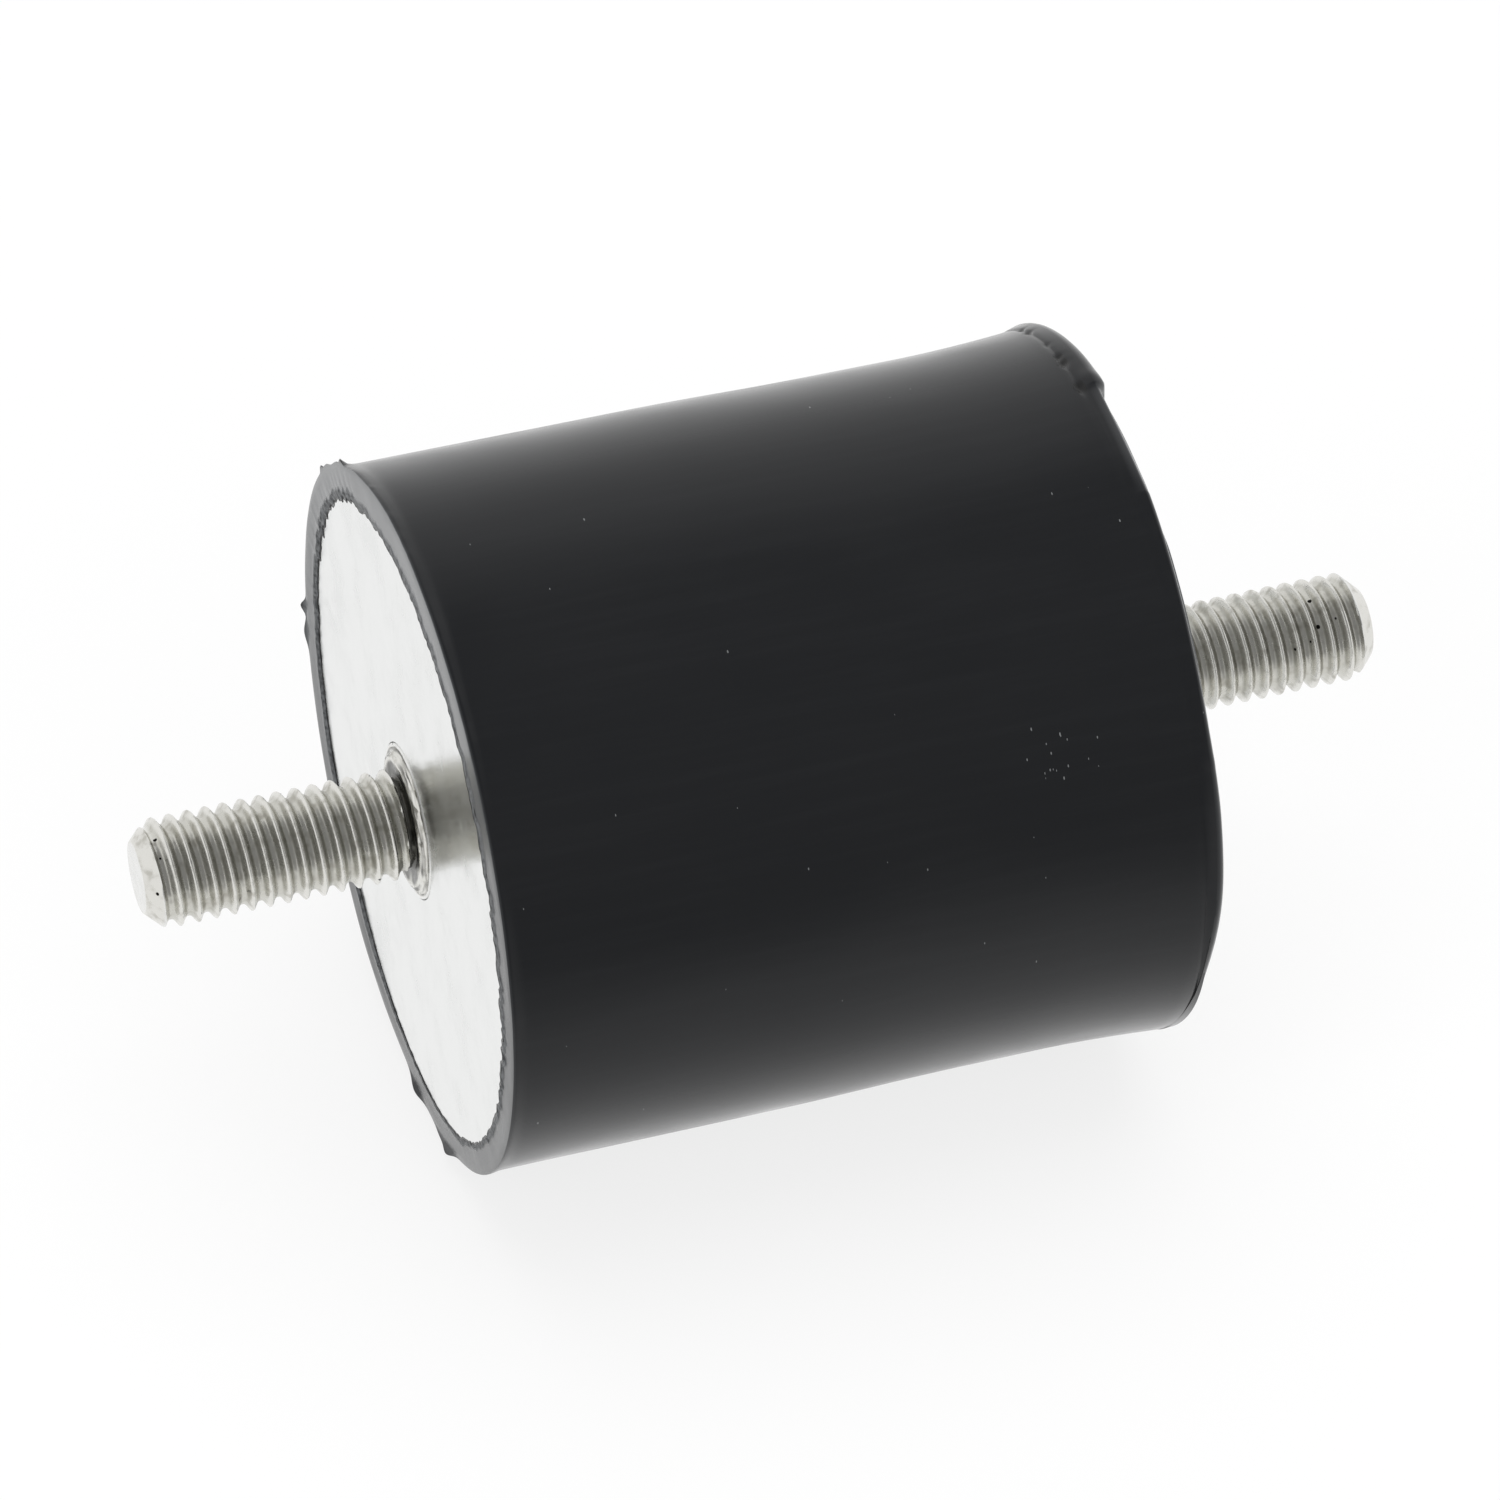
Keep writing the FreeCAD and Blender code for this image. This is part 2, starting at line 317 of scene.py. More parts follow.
# Rings of the right end: the parting line with its torn marks, the swollen lip, trimmed between
# two kinks, and the film over the plate. All that is uneven runs out before the underside.
def rightEndRings(cfg, clock, foot):
    end, plate = cfg["halfLength"], cfg["plateRadius"]
    degrees = np.mod(np.degrees(clock) + 180, 360) - 180
    fade = 1 - ease(148, 178, degrees)
    drift = cfg["lineFrontDrift"] * ease(30, 90, degrees) + cfg["lineLowDrift"] * ease(85, 130, degrees)
    line = cfg["partingLine"] + drift * fade
    part = np.clip((degrees - cfg["trimStart"]) / (cfg["trimEnd"] - cfg["trimStart"]), 0, 1)
    trimmed = np.sin(part ** 0.8 * math.pi) ** 0.55
    moulded = ease(-75, -50, degrees) * (1 - ease(-4, -2, degrees))
    creased = np.maximum(0.4 * moulded, 0.7 * ease(84, 92, degrees) * fade)
    teeth = sum(depth * nearClock(clock, at, width) for at, depth, width in cfg["teeth"])
    teeth = np.clip(teeth, 0, 1)
    low = ease(84, 122, degrees) * fade  # here the lip is cut away into a soft swell
    lip = cfg["lipRadius"] - cfg["trimmedDepth"] * trimmed + 0.02 * clockNoise(40, 40, clock)
    lip += 0.1 * nearClock(clock, -5, 2.0) + 0.05 * nearClock(clock, 65, 1.0)  # small bumps at the kinks
    lip -= cfg["lipLowDrop"] * low
    short = cfg["lipShort"] * (1 - moulded) - cfg["lipFrontBack"] * ease(55, 75, degrees) * fade
    last = end - (short + cfg["lipLowCut"] * low) + 0.03 * clockNoise(41, 30, clock)

    # the torn marks along the parting line are coloured black
    rings = [
        (line - 0.35, foot + 0.03 * low),
        (line - 0.14 - 0.35 * teeth, foot - 0.01, teeth),
        (line - 0.04 - 0.12 * teeth, foot - 0.05 * creased - 0.16 * teeth, teeth),
        (line + 0.02, foot - 0.04 * creased - 0.14 * teeth, teeth),
        (line + 0.12 + 0.18 * teeth, foot + (lip - foot) * (0.12 + 0.35 * creased), teeth),
        (line + 0.35, foot + (lip - foot) * (0.35 + 0.4 * creased)),
    ]
    curve = cfg["lipCurve"] + cfg["trimmedCurve"] * trimmed + cfg["lowCurve"] * low
    top = np.minimum(np.maximum(line + 0.5, 24.1), last - 0.2) - 0.6 * low
    # painted highlight: the bloom grey rises towards the lip's round outer edge, and more where the lip is
    # trimmed
    rings.append((top, lip, 0, 0, 0.25 * trimmed))
    for angle in (15, 30, 45, 60, 75, 90):
        turn = math.radians(angle)
        rings.append((top + (last - top) * math.sin(turn),
                      np.maximum(lip - curve * (1 - math.cos(turn)), plate + 0.8),
                      0, 0, angle / 180 + 0.4 * trimmed))
    rings.append((last, np.maximum(lip - curve - 0.3, plate + 0.75), 0.0, 0.0, 0.6))

    film = cfg["rightFilm"] + 0.12 * clockNoise(50, 90, clock) + 0.14 * clockNoise(51, 260, clock)
    film = np.clip(film, cfg["filmLeast"], cfg["filmMost"])
    # painted shade: the film's edge over the right plate is coloured black
    rings += [
        (np.maximum(last, end - 0.2), plate + 0.7, 0.0, 0.2, 0.6),
        (end + 0.03, plate + 0.45 + 0.15 * clockNoise(54, 60, clock), 0.0, 0.4, 0.6),
        (end + 0.06 + 0.04 * clockNoise(52, 240, clock), plate + 0.2, 0.0, 1.0),
        (end + 0.05 + 0.03 * clockNoise(53, 240, clock), plate - film * 0.5, 0.3, 1.0),
        (end + 0.05, plate - film + 0.03, 0.9),
        (end + 0.01, plate - film, 1.0),
        (end, plate, 1.0),
    ]
    return rings


def makeRubber(cfg):
    columns = cfg["columns"]
    clock = np.arange(columns) * fullTurn / columns
    rim = leftRimRadius(cfg, clock)
    foot = barrelRing(cfg, clock, rim, 23.0)[1]
    stations = [-24.2, -23.8, -23.4, -23.0, -22.5, -22.0, -21.0]
    stations += list(np.arange(-20, 20.1, 1.6))
    stations += [21, 21.6, 22.1, 22.6]
    rings = seatRings(cfg, -1) + leftEndRings(cfg, clock, rim)
    rings += [barrelRing(cfg, clock, rim, x) for x in stations]
    rings += rightEndRings(cfg, clock, foot) + list(reversed(seatRings(cfg, 1)))
    x, radius, flash_and_shade, torn, bloom_and_painted_light = spreadRings(rings, columns, 5)
    around = np.tile(clock, len(rings))
    points = np.stack([x, -radius * np.sin(around), radius * np.cos(around)], 1)
    faces = skinFaces(len(rings), columns) + endFaces(len(points), columns)
    piece = makePiece("rubber_reel", points, faces, cfg["crease"],
                      {"flash_and_shade": flash_and_shade, "torn": torn, "bloom_and_painted_light": bloom_and_painted_light})
    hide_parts("rubber_body")
    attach(piece, "root")
    return piece


# Vulcanised natural rubber, moulded: near black and silky, with a soft sheen towards its edges,
# mould dust and faint drawn streaks. The ring face is bloomed grey, and that grey is painted lighter
# at the top and the back as painted light, and along the lip's round edge as a painted highlight.
# The torn film beside the plate is rough and paler than the mould skin. Loose flash is black, and the
# same black is painted at the film's edge and in the groove beside the plate as painted shade.
rubberLook = {
    "skin": "#1b1c1e",
    "streak": "#1d1e20",
    "bloom_and_painted_light": "#5e6062",
    "torn": "#66686a",
    "flash_and_shade": "#0f0f0f",
    "dust": "#6e7071",
    "ior": 1.52,
    "specular": 0.17,
    "roughness": 0.19,
    "tornRoughness": 0.35,     # added where the rubber is torn
    "sheen": 0.16,
    "sheenRoughness": 0.35,
    "streakSpacing": 0.9,      # mm across the axis
    "streakStretch": 0.06,     # drawn out along the axis
    "cloud": 9.0,              # mm, patches that are a little duller
    "grain": 0.12,             # mm, mould grain, drawn coarser than the real one so that it shows
    "crumb": 0.3,              # mm, crumbs of the torn film
    "crumbHeight": 12.0,       # times the grain
    "bumpDepth": 0.006,        # mm
    "dustSpacing": 0.5,        # mm between places where a speck may lie
    "dustLength": 2.4,         # places lie closer along the axis by this much
    "dustPatch": (13.8, -20.9, 12.4),
    "dustReach": 3.4,
    "dustThick": 0.22,         # share of the places that hold a speck, in the patch
    "dustThin": 0.0025,        # and away from it
}


def rubberMaterial(look):
    material, tree = newMaterial("vulcanised_natural_rubber")
    place = addNode(tree, "ShaderNodeTexCoord").outputs["Object"]
    drawn = addNode(tree, "ShaderNodeVectorMath",
                    {"operation": "MULTIPLY", 1: (look["streakStretch"], 1, 1)}, {0: place}).outputs[0]
    streaks = addNode(tree, "ShaderNodeTexNoise",
                      {"Scale": perMm / look["streakSpacing"], "Detail": 3.0, "Roughness": 0.6},
                      {"Vector": drawn}).outputs["Fac"]
    clouds = addNode(tree, "ShaderNodeTexNoise",
                     {"Scale": perMm / look["cloud"], "Detail": 3.0}, {"Vector": place}).outputs["Fac"]
    grain = addNode(tree, "ShaderNodeTexNoise",
                    {"Scale": perMm / look["grain"], "Detail": 2.0}, {"Vector": place}).outputs["Fac"]
    crumbs = addNode(tree, "ShaderNodeTexNoise",
                     {"Scale": perMm / look["crumb"], "Detail": 3.0}, {"Vector": place}).outputs["Fac"]
    bloom_and_painted_light, torn, flash_and_shade = [addNode(tree, "ShaderNodeAttribute", {"attribute_name": zone}).outputs["Fac"]
                          for zone in ("bloom_and_painted_light", "torn", "flash_and_shade")]

    # colours, from the mould skin to what lies over it
    streaked = addNode(tree, "ShaderNodeMapRange", {**smooth, "From Min": 0.4, "From Max": 0.75},
                       {"Value": streaks}).outputs["Result"]
    patchy = addNode(tree, "ShaderNodeMapRange",
                     {**smooth, "From Min": 0.35, "From Max": 0.6, "To Min": 0.25}, {"Value": crumbs})
    patchy = addNode(tree, "ShaderNodeMath", {"operation": "MULTIPLY"},
                     {0: torn, 1: patchy.outputs["Result"]}).outputs[0]
    # black for loose flash, and painted shade at the film's edge and in the groove beside the plate
    flash_and_shade_share = addNode(tree, "ShaderNodeMapRange", {**smooth, "From Min": 0.2, "From Max": 0.8},
                    {"Value": flash_and_shade}).outputs["Result"]
    colour = addNode(tree, "ShaderNodeMix",
                     {**colourMix, 6: linearColour(look["skin"]), 7: linearColour(look["streak"])},
                     {0: streaked}).outputs[2]
    # the bloom grey also carries painted light: lighter at the top and back of the ring face and along the
    # lip's edge
    for share, name in ((bloom_and_painted_light, "bloom_and_painted_light"), (patchy, "torn"), (flash_and_shade_share, "flash_and_shade")):
        colour = addNode(tree, "ShaderNodeMix", {**colourMix, 7: linearColour(look[name])},
                         {0: share, 6: colour}).outputs[2]

    # dust: one small speck in a few of the cells, thick in one patch on the front
    narrow = addNode(tree, "ShaderNodeVectorMath",
                     {"operation": "MULTIPLY", 1: (look["dustLength"], 1, 1)}, {0: place}).outputs[0]
    cells = addNode(tree, "ShaderNodeTexVoronoi", {"Scale": perMm / look["dustSpacing"]},
                    {"Vector": narrow}).outputs
    chance = addNode(tree, "ShaderNodeSeparateColor", {}, {"Color": cells["Color"]}).outputs
    centre = [c * mm for c in look["dustPatch"]]
    away = addNode(tree, "ShaderNodeVectorMath", {"operation": "DISTANCE", 1: centre},
                   {0: place}).outputs["Value"]
    often = addNode(tree, "ShaderNodeMapRange",
                    {**smooth, "From Min": look["dustReach"] * 0.3 * mm, "From Max": look["dustReach"] * mm,
                     "To Min": look["dustThick"], "To Max": look["dustThin"]},
                    {"Value": away}).outputs["Result"]
    picked = addNode(tree, "ShaderNodeMath", {"operation": "LESS_THAN"},
                     {0: chance["Red"], 1: often}).outputs[0]
    size = addNode(tree, "ShaderNodeMapRange", {**smooth, "To Min": 0.1, "To Max": 0.26},
                   {"Value": chance["Green"]}).outputs["Result"]
    speck = addNode(tree, "ShaderNodeMath", {"operation": "LESS_THAN"},
                    {0: cells["Distance"], 1: size}).outputs[0]
    dust = addNode(tree, "ShaderNodeMath", {"operation": "MULTIPLY"}, {0: picked, 1: speck}).outputs[0]
    colour = addNode(tree, "ShaderNodeMix", {**colourMix, 7: linearColour(look["dust"])},
                     {0: dust, 6: colour}).outputs[2]

    roughness = addNode(tree, "ShaderNodeMapRange",
                        {**smooth, "From Min": 0.3, "From Max": 0.7, "To Min": look["roughness"] - 0.04,
                         "To Max": look["roughness"] + 0.06}, {"Value": clouds}).outputs["Result"]
    roughness = addNode(tree, "ShaderNodeMath", {"operation": "MULTIPLY_ADD", 1: look["tornRoughness"]},
                        {0: torn, 2: roughness}).outputs[0]
    height = addNode(tree, "ShaderNodeMath", {"operation": "MULTIPLY"}, {0: torn, 1: crumbs}).outputs[0]
    height = addNode(tree, "ShaderNodeMath", {"operation": "MULTIPLY_ADD", 1: look["crumbHeight"]},
                     {0: height, 2: grain}).outputs[0]
    bump = addNode(tree, "ShaderNodeBump", {"Strength": 0.4, "Distance": look["bumpDepth"] * mm},
                   {"Height": height})
    shader = addNode(tree, "ShaderNodeBsdfPrincipled",
                     {"IOR": look["ior"], "Specular IOR Level": look["specular"],
                      "Sheen Weight": look["sheen"], "Sheen Roughness": look["sheenRoughness"]},
                     {"Base Color": colour, "Roughness": roughness, "Normal": bump.outputs[0]})
    addNode(tree, "ShaderNodeOutputMaterial", {}, {"Surface": shader.outputs[0]})
    return material


rubberPiece = makeRubber(rubber)
rubberPiece.data.materials.append(rubberMaterial(rubberLook))
print("rubber body made")


stud = {
    "columns": 128,
    "crease": 38,              # degrees
    "plateFace": 25.0,         # from the middle of the mount
    "plateThickness": 3.0,
    "length": (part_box("left_plate")[0].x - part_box("left_stud")[0].x) / mm,
    "pitch": 1.25,
    "rowsPerPitch": 16,
    "majorRadius": 3.8,        # rolled a little under its nominal size
    "rootRadius": 3.22,
    "crestRound": 0.14,
    "rootRound": 0.26,
    "runIn": 2.4,              # how steeply the first turn rises out of the undercut
    "dentDepth": 0.05,
    "dentSpacing": 0.35,
    "tipChamfer": 1.3,
    "undercutRadius": 3.15,
    "undercutLength": 0.26,
    "collarRadius": 4.6,
    "collarHeight": 0.5,
    "collarInset": 0.06,       # the collar ends this far inside the hole's edge
    "shoulderRadius": 5.5,
    "headRadius": 8.0,
    "headTop": 5.5,
}
studs = (  # piece, node, end, where its thread starts in turns, seed
    ("threaded_stud_left", "left_stud", -1, 0.745, 100),
    ("threaded_stud_right", "right_stud", 1, 0.35, 200),
)


def softMin(first, second, blend):
    part = np.clip(0.5 + 0.5 * (second - first) / blend, 0, 1)
    return second * (1 - part) + first * part - blend * part * (1 - part)


def threadRadius(cfg, along, clock, start):  # ISO 60 degree form with a rolled crest and root
    pitch = cfg["pitch"]
    phase = np.mod(along / pitch - clock / fullTurn - start + 0.5, 1) - 0.5
    height = pitch * math.sqrt(3) / 2
    radius = cfg["majorRadius"] + height / 8 - np.abs(phase) * pitch * math.sqrt(3)
    radius = softMin(radius, cfg["majorRadius"], cfg["crestRound"])
    return -softMin(-radius, -cfg["rootRadius"], cfg["rootRound"])


def headRings(cfg):  # the head and the shoulder through the plate; out is measured from the plate's face
    top, wide, narrow = -cfg["headTop"], cfg["headRadius"], cfg["shoulderRadius"]
    return [(top, 0.01), (top, 4), (top, wide - 0.8), (top + 0.23, wide - 0.23), (top + 0.8, wide),
            (-cfg["plateThickness"], wide), (-cfg["plateThickness"], narrow), (-0.3, narrow)]


# Rings of the upset collar, as out, radius, crest share and darkness: a thin bead on the plate, painted
# bright as a highlight, then a hammered, uneven cone, and the undercut behind it. The cone is darkened in
# streaks, partly hammered metal and partly painted shade, and the undercut is painted dark as shade.
def collarRings(cfg, clock, seed):
    def lump(number):
        return clockNoise(seed + number, 70, clock)

    def dull_and_shade(number, level):  # how dark the collar is, in streaks round it: partly hammered metal, partly painted shade
        return np.clip(level + 0.45 * clockNoise(seed + number, 26, clock), 0, 1)

    outer = cfg["shoulderRadius"] - cfg["collarInset"]
    top, lip = cfg["collarHeight"], cfg["collarRadius"]
    foot = top + cfg["undercutLength"]
    return [
        (0.0, outer, 1.8),
        (0.06, outer - 0.03, 1.8),
        (0.09 + 0.02 * lump(1), outer - 0.14, 1.8),
        (0.07 + 0.02 * lump(2), outer - 0.24 + 0.03 * lump(3), 0.8, dull_and_shade(30, 0.5)),
        (0.04 + 0.04 * lump(4), outer - 0.32 + 0.04 * lump(5), 0.3, dull_and_shade(31, 0.75)),
        (0.14 + 0.05 * lump(6), outer - 0.42 + 0.05 * lump(7), 0.8, dull_and_shade(32, 0.3)),
        (0.2 + 0.06 * lump(8), outer - 0.52 + 0.05 * lump(9), 0.6, dull_and_shade(33, 0.55)),
        (0.3 + 0.06 * lump(10), outer - 0.62 + 0.05 * lump(11), 0.9, dull_and_shade(34, 0.2)),
        (0.36 + 0.06 * lump(16), outer - 0.72 + 0.05 * lump(17), 0.7, dull_and_shade(40, 0.5)),
        (top - 0.05 + 0.04 * lump(12), lip + 0.05 * lump(13), 0.9, dull_and_shade(35, 0.45)),
        (top + 0.03 * lump(14), lip - 0.14, 0.9, dull_and_shade(36, 0.2)),
        (top - 0.05, lip - 0.5 + 0.08 * lump(15), 0.0, dull_and_shade(37, 0.8)),
        # painted shade: the undercut behind the cone is made dark
        (top - 0.12, cfg["undercutRadius"] + 0.2, 0.0, 0.9),
        (top + 0.05, cfg["undercutRadius"], 0.0, dull_and_shade(38, 0.9)),
        (foot - 0.02, cfg["undercutRadius"], 0.0, dull_and_shade(39, 0.8)),
        (foot, cfg["undercutRadius"]),
    ]


# Rings of the thread follow the helix, held between the undercut and the tip.
def threadRings(cfg, clock, start, seed):
    perPitch, pitch, tip = cfg["rowsPerPitch"], cfg["pitch"], cfg["length"]
    foot = cfg["collarHeight"] + cfg["undercutLength"]
    rings = []
    for row in range(int((tip - foot) / pitch * perPitch) + 3 * perPitch):
        along = foot + (row - 1.5 * perPitch) * pitch / perPitch + pitch * clock / fullTurn
        along = np.clip(along, foot, tip)
        radius = threadRadius(cfg, along, clock, start)
        dents = np.clip(skinNoise(seed + 20, 60, cfg["dentSpacing"], clock, along), 0.35, 1) - 0.35
        radius = radius - cfg["dentDepth"] * dents
        radius = np.minimum(radius, cfg["undercutRadius"] + (along - foot) * cfg["runIn"])
        radius = np.minimum(radius, cfg["majorRadius"] - cfg["tipChamfer"] + (tip - along))
        # painted light: lighter towards the crests and darker in the grooves, burnished crests with a painted
        # highlight and painted shade in the grooves
        worn_and_shade = ease(cfg["rootRadius"] + 0.1, cfg["majorRadius"] - 0.1, radius)
        rings.append((along, radius, worn_and_shade + ease(tip - 1.6, tip - 0.9, along)))
    return rings


def tipRings(cfg):
    tip, flat = cfg["length"], cfg["majorRadius"] - cfg["tipChamfer"]
    return [(tip, flat, 2.0), (tip + 0.02, flat - 0.25, 2.0), (tip + 0.02, flat * 0.5, 2.0),
            (tip + 0.02, 0.01, 2.0)]


def makeStud(cfg, name, node, side, start, seed):
    columns = cfg["columns"]
    clock = np.arange(columns) * fullTurn / columns
    plain = headRings(cfg) + collarRings(cfg, clock, seed)
    spiral = threadRings(cfg, clock, start, seed)
    rings = plain + spiral + tipRings(cfg)
    out, radius, worn_and_shade, hammered_and_shade = spreadRings(rings, columns, 4)
    around = np.tile(clock, len(rings))
    points = np.stack([-cfg["plateFace"] - out, radius * np.sin(around), radius * np.cos(around)], 1)
    if side > 0:  # the same stud turned half round about Z
        points = points * (-1, -1, 1)

    faces = []
    threadStart, threadEnd = len(plain), len(plain) + len(spiral)
    for first, last, lead in ((0, threadStart + 1, 0), (threadStart, threadEnd, cfg["rowsPerPitch"]),
                              (threadEnd - 1, len(rings), 0)):
        offset = first * columns
        faces += [tuple(index + offset for index in face)
                  for face in skinFaces(last - first, columns, lead)]
    faces += endFaces(len(points), columns)
    piece = makePiece(name, points, faces, cfg["crease"], {"worn_and_shade": worn_and_shade, "hammered_and_shade": hammered_and_shade})
    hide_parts(node)
    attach(piece, "root")
    return piece


# Bright zinc on a rolled steel thread: crests and the chamfered tip nearly white and grooves duller, partly
# burnished crests and partly a painted highlight on the crests and painted shade in the grooves, with stains,
# and black grit left in a few of them. The collar takes the grit colour in streaks, partly hammered metal and
# partly painted shade.
zincThread = {
    "tip": "#e2e2e0",
    "crest": "#dddcd7",
    "groove": "#c9c8c1",
    "stain": "#8d897b",
    "grit": "#1c1b19",
    "roughness": 0.24,
    "grooveRoughness": 0.06,   # added in the grooves
    "blotch": 0.9,             # mm
    "fineSpacing": 0.15,       # mm, dimples of the plating
    "bumpDepth": 0.015,        # mm
    "gritSpacing": 0.7,        # mm between places where grit may lie
    "gritShare": 0.025,        # of the places that hold any
    "gritSize": 0.22,          # of the spacing
}


def threadMaterial(look):
    material, tree = newMaterial("zinc_plated_rolled_thread")
    place = addNode(tree, "ShaderNodeTexCoord").outputs["Object"]
    worn_and_shade, hammered_and_shade = [addNode(tree, "ShaderNodeAttribute", {"attribute_name": zone}).outputs["Fac"]
                    for zone in ("worn_and_shade", "hammered_and_shade")]
    blotches = addNode(tree, "ShaderNodeTexNoise",
                       {"Scale": perMm / look["blotch"], "Detail": 4.0}, {"Vector": place}).outputs["Fac"]
    fine = addNode(tree, "ShaderNodeTexNoise",
                   {"Scale": perMm / look["fineSpacing"], "Detail": 3.0}, {"Vector": place}).outputs["Fac"]

    # crest colour by thread height: burnish and painted highlight on the crests, painted shade in the grooves
    crest = addNode(tree, "ShaderNodeMapRange", smooth, {"Value": worn_and_shade}).outputs["Result"]
    stained = addNode(tree, "ShaderNodeMapRange",
                      {**smooth, "From Min": 0.5, "From Max": 0.75, "To Max": 0.5},
                      {"Value": blotches}).outputs["Result"]
    tip = addNode(tree, "ShaderNodeMapRange", {**smooth, "From Min": 1.0, "From Max": 1.8},
                  {"Value": worn_and_shade}).outputs["Result"]
    # the collar's darkness takes the grit colour: hammered streaks, and painted shade on the cone and in the
    # undercut
    hammered_and_shade_share = addNode(tree, "ShaderNodeMapRange",
                       {**smooth, "From Min": 0.15, "From Max": 0.95, "To Max": 0.85},
                       {"Value": hammered_and_shade}).outputs["Result"]
    cells = addNode(tree, "ShaderNodeTexVoronoi", {"Scale": perMm / look["gritSpacing"]},
                    {"Vector": place}).outputs
    chance = addNode(tree, "ShaderNodeSeparateColor", {}, {"Color": cells["Color"]}).outputs["Red"]
    picked = addNode(tree, "ShaderNodeMath", {"operation": "LESS_THAN", 1: look["gritShare"]},
                     {0: chance}).outputs[0]
    speck = addNode(tree, "ShaderNodeMath", {"operation": "LESS_THAN", 1: look["gritSize"]},
                    {0: cells["Distance"]}).outputs[0]
    grit = addNode(tree, "ShaderNodeMath", {"operation": "MULTIPLY"}, {0: picked, 1: speck}).outputs[0]
    colour = addNode(tree, "ShaderNodeMix",
                     {**colourMix, 6: linearColour(look["groove"]), 7: linearColour(look["crest"])},
                     {0: crest}).outputs[2]
    for share, name in ((stained, "stain"), (tip, "tip"), (hammered_and_shade_share, "grit"), (grit, "grit")):
        colour = addNode(tree, "ShaderNodeMix", {**colourMix, 7: linearColour(look[name])},
                         {0: share, 6: colour}).outputs[2]

    bump = addNode(tree, "ShaderNodeBump", {"Strength": 0.3, "Distance": look["bumpDepth"] * mm},
                   {"Height": fine})
    roughness = addNode(tree, "ShaderNodeMapRange",
                        {**smooth, "From Min": 0.3, "From Max": 0.7, "To Min": look["roughness"] - 0.06,
                         "To Max": look["roughness"] + 0.08}, {"Value": blotches}).outputs["Result"]
    extra = addNode(tree, "ShaderNodeMapRange", {**smooth, "To Min": look["grooveRoughness"], "To Max": 0.0},
                    {"Value": worn_and_shade}).outputs["Result"]
    roughness = addNode(tree, "ShaderNodeMath", {"operation": "ADD"}, {0: roughness, 1: extra}).outputs[0]
    shader = addNode(tree, "ShaderNodeBsdfPrincipled", {"Metallic": 1.0},
                     {"Base Color": colour, "Roughness": roughness, "Normal": bump.outputs[0]})
    addNode(tree, "ShaderNodeOutputMaterial", {}, {"Surface": shader.outputs[0]})
    return material


threadSkin = threadMaterial(zincThread)
for name, node, side, start, seed in studs:
    makeStud(stud, name, node, side, start, seed).data.materials.append(threadSkin)
print("studs made")


# Bright zinc on pressed steel sheet: nearly white in a white room, with fine pits and a few
# dull scuffs, and smooth enough to mirror the stud's foot.
zincSheet = {
    "bright": "#e3e4e3",
    "pit": "#77787a",
    "roughness": 0.16,
    "pitSpacing": 0.3,         # mm
    "pitStretch": 0.5,         # pits are twice as long upwards
    "pitThin": 0.05,           # share of the places that hold a pit, where the sheet is clean
    "pitThick": 0.36,          # and where it is scuffed
    "pitDepth": 0.03,          # mm
    "scuff": 5.0,              # mm
}


def plateMaterial(look):
    material, tree = newMaterial("zinc_plated_sheet")
    place = addNode(tree, "ShaderNodeTexCoord").outputs["Object"]
    upright = addNode(tree, "ShaderNodeVectorMath",
                      {"operation": "MULTIPLY", 1: (1, 1, look["pitStretch"])}, {0: place}).outputs[0]
    cells = addNode(tree, "ShaderNodeTexVoronoi", {"Scale": perMm / look["pitSpacing"]},
                    {"Vector": upright}).outputs
    chance = addNode(tree, "ShaderNodeSeparateColor", {}, {"Color": cells["Color"]}).outputs["Red"]
    scuffs = addNode(tree, "ShaderNodeTexNoise",
                     {"Scale": perMm / look["scuff"], "Detail": 5.0, "Roughness": 0.65},
                     {"Vector": place}).outputs["Fac"]
    often = addNode(tree, "ShaderNodeMapRange",
                    {**smooth, "From Min": 0.42, "From Max": 0.65, "To Min": look["pitThin"],
                     "To Max": look["pitThick"]}, {"Value": scuffs}).outputs["Result"]
    picked = addNode(tree, "ShaderNodeMath", {"operation": "LESS_THAN"}, {0: chance, 1: often}).outputs[0]
    near = addNode(tree, "ShaderNodeMapRange",
                   {**smooth, "From Min": 0.15, "From Max": 0.4, "To Min": 1.0, "To Max": 0.0},
                   {"Value": cells["Distance"]}).outputs["Result"]
    pits = addNode(tree, "ShaderNodeMath", {"operation": "MULTIPLY"}, {0: picked, 1: near}).outputs[0]
    colour = addNode(tree, "ShaderNodeMix",
                     {**colourMix, 6: linearColour(look["bright"]), 7: linearColour(look["pit"])},
                     {0: pits}).outputs[2]
    roughness = addNode(tree, "ShaderNodeMapRange",
                        {**smooth, "From Min": 0.35, "From Max": 0.7, "To Min": look["roughness"] - 0.04,
                         "To Max": look["roughness"] + 0.14}, {"Value": scuffs}).outputs["Result"]
    down = addNode(tree, "ShaderNodeMath", {"operation": "MULTIPLY", 1: -1.0}, {0: pits}).outputs[0]
    bump = addNode(tree, "ShaderNodeBump", {"Strength": 0.5, "Distance": look["pitDepth"] * mm},
                   {"Height": down})
    shader = addNode(tree, "ShaderNodeBsdfPrincipled", {"Metallic": 1.0},
                     {"Base Color": colour, "Roughness": roughness, "Normal": bump.outputs[0]})
    addNode(tree, "ShaderNodeOutputMaterial", {}, {"Surface": shader.outputs[0]})
    return material


sheetSkin = plateMaterial(zincSheet)
for node in ("left_plate", "right_plate"):
    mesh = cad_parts[node].data
    mesh.materials.clear()
    mesh.materials.append(sheetSkin)
print("plates finished")


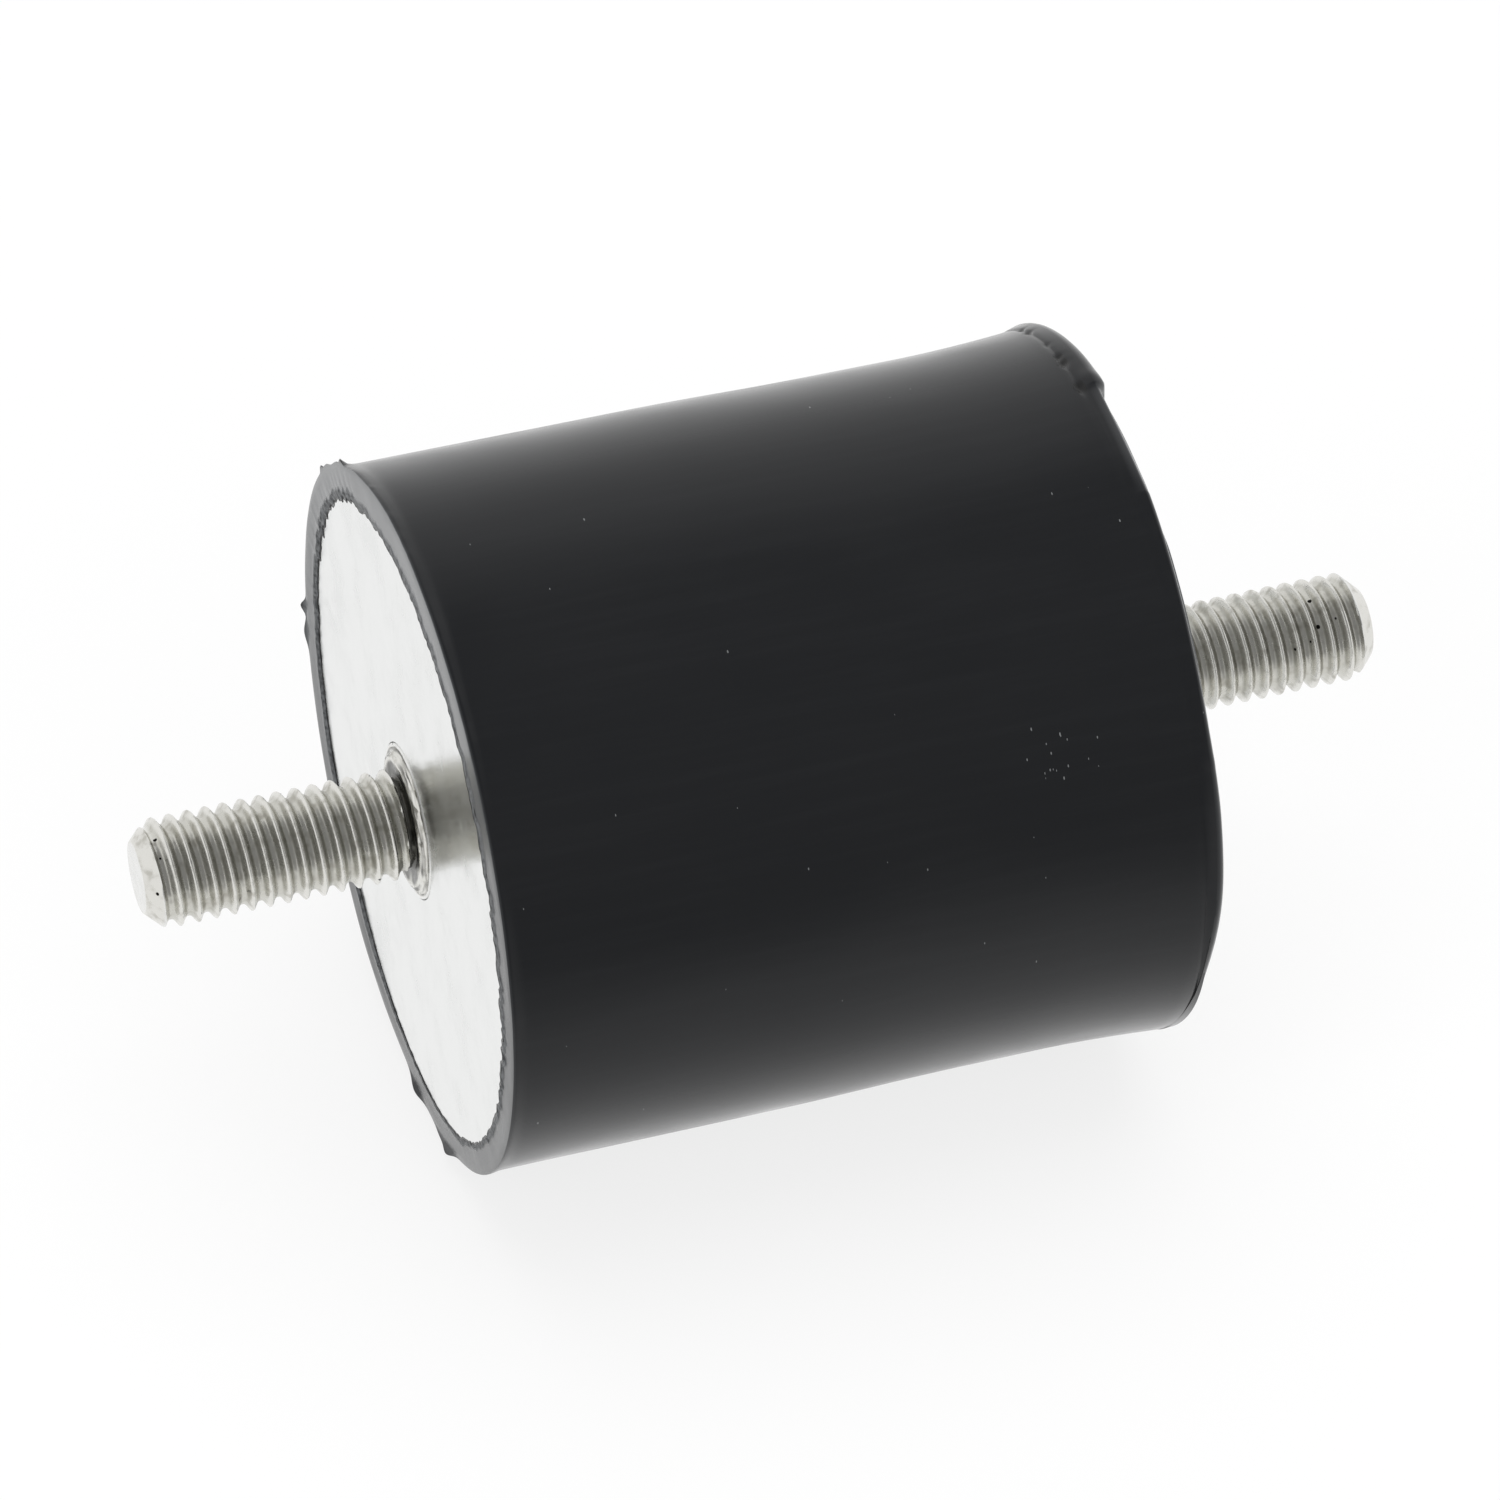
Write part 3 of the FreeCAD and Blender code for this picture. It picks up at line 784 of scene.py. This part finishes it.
room = {
    "floorHalf": 1.5,          # metres
    "floorWhite": "#f4f4f4",
    "floorGlow": 0.8,          # share of plain white that the camera sees; the rest holds the shadow
    "worldDiffuse": 0.7,
    "darkRise": 45,            # degrees; the dark side lies a little above the camera
    "darkFrom": 0.05,          # where the dark side begins, as the cosine of the angle to its middle
    "darkFull": 0.5,           # and where it is full
    "axialWhite": 0.6,         # it is held back towards both ends of the mount
    "darkSide": 0.38,          # what gloss mirrors from the photographer's side of the room
    "whiteSide": 1.25,         # and from the white sweep behind, below and at both ends
}
lamps = {  # name: place in m, size in m, watts
    "overhead": ((0.1, 0.1, 1.2), 1.4, 9.0),
    "left": ((-1.1, -0.6, 0.7), 1.0, 4.0),
    "front": ((0.5, -1.2, 0.8), 1.0, 3.0),
}
photoView = {
    "azimuth": -17.867,        # degrees
    "elevation": 40.322,
    "distance": 584.11,
    "aim": (-0.645, 0.105, -0.116),
    "lens": 204.8,
    "sensor": 36.0,
    "near": 0.02,              # metres
    "far": 20.0,
}


def makeFloor(cfg):
    half = cfg["floorHalf"]
    mesh = bpy.data.meshes.new("floor")
    mesh.from_pydata([(-half, -half, 0), (half, -half, 0), (half, half, 0), (-half, half, 0)],
                     [], [(0, 1, 2, 3)])
    floor = bpy.data.objects.new("floor", mesh)
    floor.location.z = cadLow.z
    scene.collection.objects.link(floor)
    material, tree = newMaterial("studio_floor")
    path = addNode(tree, "ShaderNodeLightPath").outputs
    matt = addNode(tree, "ShaderNodeBsdfDiffuse", {"Color": linearColour(cfg["floorWhite"])})
    glow = addNode(tree, "ShaderNodeEmission", {"Strength": 1.0})
    share = addNode(tree, "ShaderNodeMath", {"operation": "MULTIPLY", 1: cfg["floorGlow"]},
                    {0: path["Is Camera Ray"]})
    seen = addNode(tree, "ShaderNodeMixShader", {},
                   {0: share.outputs[0], 1: matt.outputs[0], 2: glow.outputs[0]})
    clear = addNode(tree, "ShaderNodeBsdfTransparent")  # gloss looks through the floor at the room
    through = addNode(tree, "ShaderNodeMath", {"operation": "MAXIMUM"},
                      {0: path["Is Glossy Ray"], 1: path["Is Transmission Ray"]})
    whole = addNode(tree, "ShaderNodeMixShader", {},
                    {0: through.outputs[0], 1: seen.outputs[0], 2: clear.outputs[0]})
    addNode(tree, "ShaderNodeOutputMaterial", {}, {"Surface": whole.outputs[0]})
    floor.data.materials.append(material)


def makeWorld(cfg):
    world = bpy.data.worlds.new("soft_room")
    world.use_nodes = True
    tree = world.node_tree
    tree.nodes.clear()
    path = addNode(tree, "ShaderNodeLightPath").outputs
    way = addNode(tree, "ShaderNodeTexCoord").outputs["Generated"]
    rise = math.radians(cfg["darkRise"])
    across = Vector((0, -math.cos(rise), math.sin(rise)))
    facing = addNode(tree, "ShaderNodeVectorMath", {"operation": "DOT_PRODUCT", 1: across},
                     {0: way}).outputs["Value"]
    axial = addNode(tree, "ShaderNodeSeparateXYZ", {}, {0: way}).outputs["X"]
    axial = addNode(tree, "ShaderNodeMath", {"operation": "MULTIPLY"}, {0: axial, 1: axial}).outputs[0]
    facing = addNode(tree, "ShaderNodeMath", {"operation": "MULTIPLY_ADD", 1: -cfg["axialWhite"]},
                     {0: axial, 2: facing}).outputs[0]
    mirrored = addNode(tree, "ShaderNodeMapRange",
                       {"From Min": cfg["darkFrom"], "From Max": cfg["darkFull"],
                        "To Min": cfg["whiteSide"], "To Max": cfg["darkSide"]},
                       {"Value": facing}).outputs["Result"]
    lit = addNode(tree, "ShaderNodeMix", {2: cfg["worldDiffuse"]},
                  {0: path["Is Glossy Ray"], 3: mirrored}).outputs[0]
    level = addNode(tree, "ShaderNodeMath", {"operation": "MAXIMUM"},
                    {0: lit, 1: path["Is Camera Ray"]}).outputs[0]
    sky = addNode(tree, "ShaderNodeBackground", {}, {"Strength": level})
    addNode(tree, "ShaderNodeOutputWorld", {}, {"Surface": sky.outputs[0]})
    world.cycles.sampling_method = "NONE"  # so that each ray reads its own level of the sky
    scene.world = world


def makeLamps(cfg):
    for name, (place, size, watts) in cfg.items():
        lamp = bpy.data.lights.new(name, "AREA")
        lamp.shape = "DISK"
        lamp.size = size
        lamp.energy = watts
        holder = bpy.data.objects.new(name, lamp)
        holder.location = place
        holder.rotation_mode = "QUATERNION"
        holder.rotation_quaternion = (-Vector(place)).to_track_quat("-Z", "Y")
        holder.visible_glossy = False
        scene.collection.objects.link(holder)


def makeCamera(cfg):
    azimuth, elevation = math.radians(cfg["azimuth"]), math.radians(cfg["elevation"])
    back = Vector((math.sin(azimuth) * math.cos(elevation), -math.cos(azimuth) * math.cos(elevation),
                   math.sin(elevation)))
    lens = bpy.data.cameras.new("photo_view")
    lens.lens = cfg["lens"]
    lens.sensor_width = cfg["sensor"]
    lens.clip_start = cfg["near"]
    lens.clip_end = cfg["far"]
    camera = bpy.data.objects.new("photo_view", lens)
    camera.location = (Vector(cfg["aim"]) + back * cfg["distance"]) * mm
    camera.rotation_mode = "QUATERNION"
    camera.rotation_quaternion = (-back).to_track_quat("-Z", "Y")
    scene.collection.objects.link(camera)
    scene.camera = camera


makeFloor(room)
makeWorld(room)
makeLamps(lamps)
makeCamera(photoView)
print("room, lamps and camera set")
